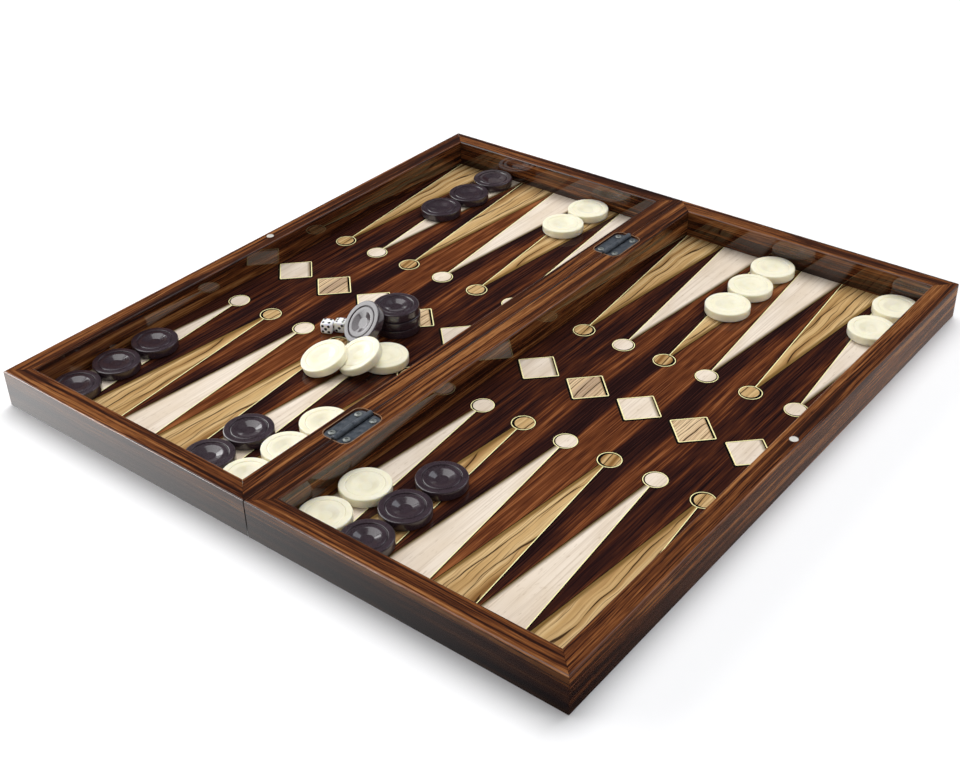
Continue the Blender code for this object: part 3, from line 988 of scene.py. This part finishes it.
def build_diamond(parts, sign, number):
    """A framed diamond: dark line, bright line, dark gap and the wood, set back at the top."""
    first = DIAMOND_FIRST_X if sign > 0 else -(DIAMOND_FIRST_X + (DIAMONDS - 1) * DIAMOND_STEP)
    x = first + number * DIAMOND_STEP
    part, right, bevel = DIAMOND_SETS[number % 2]
    inner = DIAMOND_R - DIAMOND_LINE_W

    def to_grain(point):
        return (point.x - x + 0.3 + 0.071 * number, point.y + 0.1, 0.61 * number)

    def to_edge(point):
        return math.sqrt(0.5) * (DIAMOND_R - (point.x - x) - point.y) + bevel

    outer = diamond_outline(x, DIAMOND_R + DIAMOND_LINE_W, DIAMOND_CORNER)
    parts["black"].plate([(px, py - DIAMOND_LINE_W) for px, py in outer])
    parts["gold"].plate(diamond_outline(x, DIAMOND_R, DIAMOND_CORNER))
    parts["shadow"].plate(diamond_outline(x, inner, 0.5 * DIAMOND_CORNER))
    wood = diamond_outline(x, inner, 0.5 * DIAMOND_CORNER, right, DIAMOND_SET_BACK)
    parts[part].plate(wood, to_grain, to_edge)


def build_inlays(side, sign, materials):
    parts = {
        part: Inlay("inlay_" + part, side, materials[material], FIELD_Z + level * LAYER)
        for part, material, level in INLAYS
    }
    for _, end in ENDS:
        for number in range(COLUMNS):
            build_point(parts, sign, number, end)
            build_ring(parts, sign, number, end)
    for number in range(DIAMONDS):
        build_diamond(parts, sign, number)
    for part in parts.values():
        part.finish()


# ---- hinge hardware


def build_leaf(side, sign, label, end, materials):
    """A hinge leaf with eased edges and its half of the barrel."""
    middle = end * HINGE_Y
    own = -sign
    gap = 2.0 * KNUCKLE_HALF_GAP
    work = bmesh.new()
    inner = ((0.0, LEAF_HALF_L), (0.0, gap), (LEAF_RELIEF, gap), (LEAF_RELIEF, -LEAF_HALF_L))
    outline = leaf_outline(LEAF_W, LEAF_HALF_L, LEAF_CORNER_R, inner)
    base = [(x, y, LEAF_BOTTOM) for x, y in outline]
    top = set(extrude_outline(work, base, (0.0, 0.0, LEAF_TOP - LEAF_BOTTOM)))
    rim = [edge for edge in work.edges if edge.verts[0] in top and edge.verts[1] in top]
    bmesh.ops.bevel(work, geom=rim, offset=LEAF_EDGE, segments=2, profile=0.5, affect="EDGES")
    chamfer = KNUCKLE_CHAMFER
    ends = (KNUCKLE_HALF_GAP, KNUCKLE_END)
    profile = (
        (PIN_HOLE_R, ends[0]),
        (KNUCKLE_R - chamfer, ends[0]),
        (KNUCKLE_R, ends[0] + chamfer),
        (KNUCKLE_R, ends[1] - 2 * chamfer),
        (KNUCKLE_R - 2 * chamfer, ends[1]),
        (PIN_HOLE_R, ends[1]),
    )
    rings = []
    for radius, along in profile:
        turns = [2.0 * math.pi * k / KNUCKLE_STEPS for k in range(KNUCKLE_STEPS)]
        places = [(radius * math.cos(t), along, AXIS_Z + radius * math.sin(t)) for t in turns]
        rings.append([work.verts.new(place) for place in places])
    for a, b in zip(rings, rings[1:] + rings[:1]):
        for k in range(KNUCKLE_STEPS):
            after = (k + 1) % KNUCKLE_STEPS
            work.faces.new((a[k], a[after], b[after], b[k]))
    for vert in work.verts:
        vert.co.x *= sign
        vert.co.y = vert.co.y * own + middle
    name = label + "_" + side
    metal = (materials["hinge"],)
    body = side + "_half"
    leaf = finish_mesh("hinge_" + name, work, metal, body, weighted=True)
    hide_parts("leaf_" + name)


def screw_mesh(material):
    """A pan-head screw with a cross recess, standing on its own axis."""
    head = SCREW_HEAD_BOTTOM
    profile = (
        (0.0, SCREW_TIP),
        (SCREW_SHANK_R, SCREW_TIP + 0.0009),
        (SCREW_SHANK_R, head),
        (SCREW_HEAD_R, head),
        (SCREW_HEAD_R, head + 0.0004),
        (SCREW_HEAD_R - 0.0009, head + 0.0009),
        (0.0, head + SCREW_HEAD_H),
    )
    work = bmesh.new()
    spin_profile(work, rounded(profile, (0.0, 0.0, 0.0, 0.0, 0.0002, 0.0005, 0.0)), 40)
    screw = finish_mesh("screw", work, (material,), smooth=False)
    arm, slot = CROSS_ARM, CROSS_HALF_W
    for turn in (0.0, 90.0):
        corners = ((-arm, -slot), (arm, -slot), (arm, slot), (-arm, slot))
        angle = Matrix.Rotation(math.radians(turn), 2)
        cut(screw, tool_prism([angle @ Vector(corner) for corner in corners], head + 0.0004, 0.002))
    shade(screw)
    return take_mesh(screw)


def build_hardware(materials):
    mesh = screw_mesh(materials["screw"])
    turns = iter(SCREW_TURNS)
    for side, sign in SIDES:
        for label, end in ENDS:
            build_leaf(side, sign, label, end, materials)
            for number, shift in enumerate((-SCREW_DY, SCREW_DY), start=1):
                tag = label + "_" + side + "_" + str(number)
                screw = new_object("head_" + tag, mesh)
                screw.location = (sign * SCREW_X, end * HINGE_Y + shift, 0.0)
                screw.rotation_euler = (0.0, 0.0, math.radians(next(turns)))
                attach(screw, side + "_half")
                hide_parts("screw_" + tag)
        build_magnet(side, sign, materials)


def build_magnet(side, sign, materials):
    bottom, top = MAGNET_BOTTOM, MAGNET_TOP
    profile = ((0.0, bottom), (MAGNET_R, bottom), (MAGNET_R, top), (0.0, top))
    work = bmesh.new()
    spin_profile(work, rounded(profile, (0.0, 0.0002, 0.0003, 0.0)), 48)
    magnet = finish_mesh("disc_magnet_" + side, work, (materials["magnet"],))
    magnet.location = (sign * MAGNET_X, MAGNET_Y, 0.0)
    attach(magnet, side + "_half")
    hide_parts("magnet_" + side)


# ---- playing pieces


def checker_mesh(name, material, groove):
    """Turned checker: eased edges, a ring groove and a dished middle; a shallow recess below."""
    top = CHECKER_T
    profile = (
        (0.0, 0.00025),
        (0.0115, 0.00025),
        (0.0120, 0.0),
        (CHECKER_R, 0.0),
        (CHECKER_R, top),
        (0.0131, top),
        (0.0126, top - groove),
        (0.0120, top - RIM_DROP),
        (0.0092, top - RIM_DROP),
        (0.0043, top - DISH_DEPTH),
        (0.0, top - DISH_DEPTH),
    )
    # Rounding of each corner above, in mm
    corners = (0.0, 0.2, 0.2, 1.2, 1.1, 0.3, 0.25, 0.4, 0.9, 0.4, 0.0)
    radii = [corner * MM for corner in corners]
    work = bmesh.new()
    spin_profile(work, rounded(profile, radii, steps=6), CHECKER_STEPS)
    return take_mesh(finish_mesh(name, work, (material,)))


def build_checkers(frame, materials):
    meshes = {
        colour: checker_mesh("checker_" + colour, materials[colour], groove)
        for colour, groove in GROOVE_DEPTHS.items()
    }
    for body, nodes in frame["record"]["behaviour"]["bodies"].items():
        node = nodes[0]
        if not node.startswith("checker_"):
            continue
        colour = node.split("_")[1]
        low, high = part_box(node)
        tilt, azimuth = TILTED.get(node, (0.0, 0.0))
        turn = Matrix.Rotation(math.radians(azimuth), 4, "Z")
        turn = turn @ Matrix.Rotation(math.radians(tilt), 4, "Y")
        mesh = meshes[colour]
        if tilt:
            mesh = mesh.copy()
            mesh.transform(turn @ Matrix.Translation((0.0, 0.0, -0.5 * CHECKER_T)))
            reach = 0.5 * (high.z - low.z)
            excess = max(vert.co.z for vert in mesh.vertices) - reach
            for vert in mesh.vertices:
                vert.co.z = max(vert.co.z - excess, -reach)
        piece = new_object("turned_" + body, mesh)
        piece.location = (low + high) / 2 - Vector((0.0, 0.0, 0.0 if tilt else 0.5 * CHECKER_T))
        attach(piece, body)
        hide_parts(node)


PIPS = {
    1: ((0, 0),),
    2: ((-1, -1), (1, 1)),
    3: ((-1, -1), (0, 0), (1, 1)),
    4: ((-1, -1), (-1, 1), (1, -1), (1, 1)),
    5: ((-1, -1), (-1, 1), (1, -1), (1, 1), (0, 0)),
    6: ((-1, -1), (-1, 0), (-1, 1), (1, -1), (1, 0), (1, 1)),
}


# Outward direction of each face, and the two directions its pips are laid out along
DIE_FACES = (
    ((0, 0, 1), (1, 0, 0), (0, 1, 0)),
    ((0, 0, -1), (1, 0, 0), (0, 1, 0)),
    ((0, -1, 0), (1, 0, 0), (0, 0, 1)),
    ((0, 1, 0), (1, 0, 0), (0, 0, 1)),
    ((1, 0, 0), (0, 1, 0), (0, 0, 1)),
    ((-1, 0, 0), (0, 1, 0), (0, 0, 1)),
)


def build_die(node, body, numbers, materials):
    """A rounded die with dimpled pips; numbers are those of DIE_FACES in turn."""
    work = bmesh.new()
    bmesh.ops.create_cube(work, size=DIE_SIZE)
    edges = work.edges[:]
    bmesh.ops.bevel(work, geom=edges, offset=DIE_ROUND, segments=8, profile=0.5, affect="EDGES")
    looks = (materials["die"], materials["pip"])
    die = finish_mesh("dimpled_" + node, work, looks, smooth=False)
    work = bmesh.new()
    for number, *directions in zip(numbers, *zip(*DIE_FACES)):
        outward, across, up = (Vector(direction) for direction in directions)
        radius = SMALL_PIP_R if number == 6 else PIP_R
        ball = (radius**2 + PIP_DEPTH**2) / (2 * PIP_DEPTH)
        middle = outward * (0.5 * DIE_SIZE + ball - PIP_DEPTH)
        for a, b in PIPS[number]:
            place = Matrix.Translation(middle + (across * a + up * b) * PIP_SPREAD)
            bmesh.ops.create_uvsphere(
                work, u_segments=24, v_segments=16, radius=ball, matrix=place
            )
    tool = finish_mesh("tool", work, (materials["pip"],), smooth=False)
    cut(die, tool)
    shade(die)
    low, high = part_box(node)
    die.location = (low + high) / 2
    die.rotation_euler = (0.0, 0.0, math.radians(DIE_YAW))
    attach(die, body)
    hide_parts(node)


def build_dice(materials):
    build_die("die_1", "first_die", (4, 3, 5, 2, 1, 6), materials)
    build_die("die_2", "second_die", (6, 1, 3, 4, 2, 5), materials)


# ---- stage


def build_stage():
    """A white floor that glows only in what the lacquer mirrors, brightest to the front left: a
    painted reflection.
    """
    mesh = bpy.data.meshes.new("floor")
    half, z = FLOOR_HALF, FLOOR_Z
    corners = ((-half, -half, z), (half, -half, z), (half, half, z), (-half, half, z))
    mesh.from_pydata(corners, [], [(0, 1, 2, 3)])
    graph = Graph("floor")
    graph.set(Base_Color=rgba(FLOOR_COLOUR), Roughness=0.9, Specular_IOR_Level=0.0)
    x, y, _ = graph.separate(graph.position())
    left = graph.math("POWER", graph.level(x, -HALF_W, HALF_W, 1.0, 0.0), 1.35)
    back = graph.level(y, -HALF_L, 0.6 * HALF_L, 0.03, 0.29)
    strength = graph.add(graph.times(left, 2.15), back)
    # Painted reflection: an emission seen only by mirrored rays, strongest to the front left and a
    # little towards the back.
    mirrored = graph.node("Emission")
    graph.put(strength, mirrored.inputs["Strength"])
    mix = graph.node("MixShader")
    graph.put(graph.node("LightPath").outputs["Is Glossy Ray"], mix.inputs[0])
    graph.put(graph.shader.outputs[0], mix.inputs[1])
    graph.put(mirrored.outputs[0], mix.inputs[2])
    graph.put(mix.outputs[0], graph.tree.nodes["Material Output"].inputs["Surface"])
    mesh.materials.append(graph.material)
    floor = new_object("floor", mesh)


def turn_to(light, towards):
    """Point a light's back along a direction and hide it from view."""
    light.rotation_mode = "QUATERNION"
    light.rotation_quaternion = towards.to_track_quat("Z", "Y")
    light.visible_camera = False


def add_sky(name, azimuth, elevation, energy, spread):
    """A large soft source far away that lights the object but isn't mirrored in the lacquer."""
    data = bpy.data.lights.new(name, "SUN")
    data.energy = energy
    data.angle = math.radians(spread)
    light = new_object(name, data)
    a, e = math.radians(azimuth), math.radians(elevation)
    towards = Vector((math.cos(a) * math.cos(e), math.sin(a) * math.cos(e), math.sin(e)))
    turn_to(light, towards)
    light.location = towards * 3.0
    light.visible_glossy = False


def add_panel(name, centre, normal, size, radiance, colour=(1.0, 1.0, 1.0)):
    """A soft box: a lit rectangle, width by height, that faces along its normal."""
    data = bpy.data.lights.new(name, "AREA")
    data.shape = "RECTANGLE"
    data.size, data.size_y = size
    data.energy = radiance * math.pi * size[0] * size[1]
    data.color = colour
    light = new_object(name, data)
    turn_to(light, -Vector(normal))
    light.location = centre
    return light


def build_lights():
    """Soft boxes to the left and behind; the edge one only lights the two near boards."""
    add_panel("key", (-1.5, -0.85, 0.62), (1.0, 0.0, 0.0), (2.3, 1.1), 3.8)
    upper = add_panel("key_upper", (-0.95, -0.75, 1.85), (0.72, 0.0, -0.7), (2.5, 1.5), 1.9)
    upper.visible_diffuse = False
    cool = (0.88, 0.93, 1.0)
    add_panel("back", (0.2, 1.1, 1.45), (-0.1, -0.62, -0.78), (0.9, 0.8), 1.7, cool)
    edge = add_panel("edge", (-1.45, -1.6, 0.53), (0.85, 0.5, 0.0), (1.4, 0.36), 15.0)
    edge.visible_diffuse = False
    boards = bpy.data.collections.new("near_boards")
    for side, _ in SIDES:
        boards.objects.link(bpy.data.objects["wood_near_" + side])
    edge.light_linking.receiver_collection = boards
    for sky in SKIES:
        add_sky(*sky)


def build_world():
    """White just above the horizon and dark higher up, like a white sweep in a dim studio."""
    world = bpy.data.worlds.new("studio")
    bpy.context.scene.world = world
    world.use_nodes = True
    tree = world.node_tree
    background = tree.nodes["Background"]
    coordinates = tree.nodes.new("ShaderNodeTexCoord")
    separate = tree.nodes.new("ShaderNodeSeparateXYZ")
    ramp = tree.nodes.new("ShaderNodeValToRGB")
    tree.links.new(coordinates.outputs["Generated"], separate.inputs[0])
    tree.links.new(separate.outputs["Z"], ramp.inputs[0])
    tree.links.new(ramp.outputs[0], background.inputs["Color"])
    elements = ramp.color_ramp.elements
    elements[0].position = 0.10
    elements[0].color = (1.0, 1.0, 1.0, 1.0)
    elements[1].position = 0.24
    elements[1].color = (0.05, 0.05, 0.055, 1.0)


def build_camera():
    data = bpy.data.cameras.new("camera")
    data.lens = CAMERA_LENS
    data.sensor_width = 36.0
    camera = new_object("camera", data)
    forward = Vector(CAMERA_FORWARD).normalized()
    right = Vector(CAMERA_RIGHT).normalized()
    up = right.cross(forward)
    matrix = Matrix.Identity(4)
    for column, axis in enumerate((right, up, -forward)):
        matrix.col[column] = (*axis, 0.0)
    matrix.translation = CAMERA_AT
    camera.matrix_world = matrix
    bpy.context.scene.camera = camera


def main():
    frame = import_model()
    materials = make_materials()
    for node, obj in frame["nodes"].items():
        if node.startswith(("field_", "panel_", "pin_")):
            key = node.split("_")[0]
            obj.data.materials.clear()
            obj.data.materials.append(materials[key])
    for side, sign in SIDES:
        build_rails(side, sign, (materials["rail"], materials["seam"]))
        build_mortise_lines(side, sign, materials["raw"])
        build_inlays(side, sign, materials)
    build_hardware(materials)
    build_checkers(frame, materials)
    build_dice(materials)
    build_stage()
    build_world()
    build_lights()
    build_camera()
    bpy.context.scene.view_settings.view_transform = "Standard"


main()
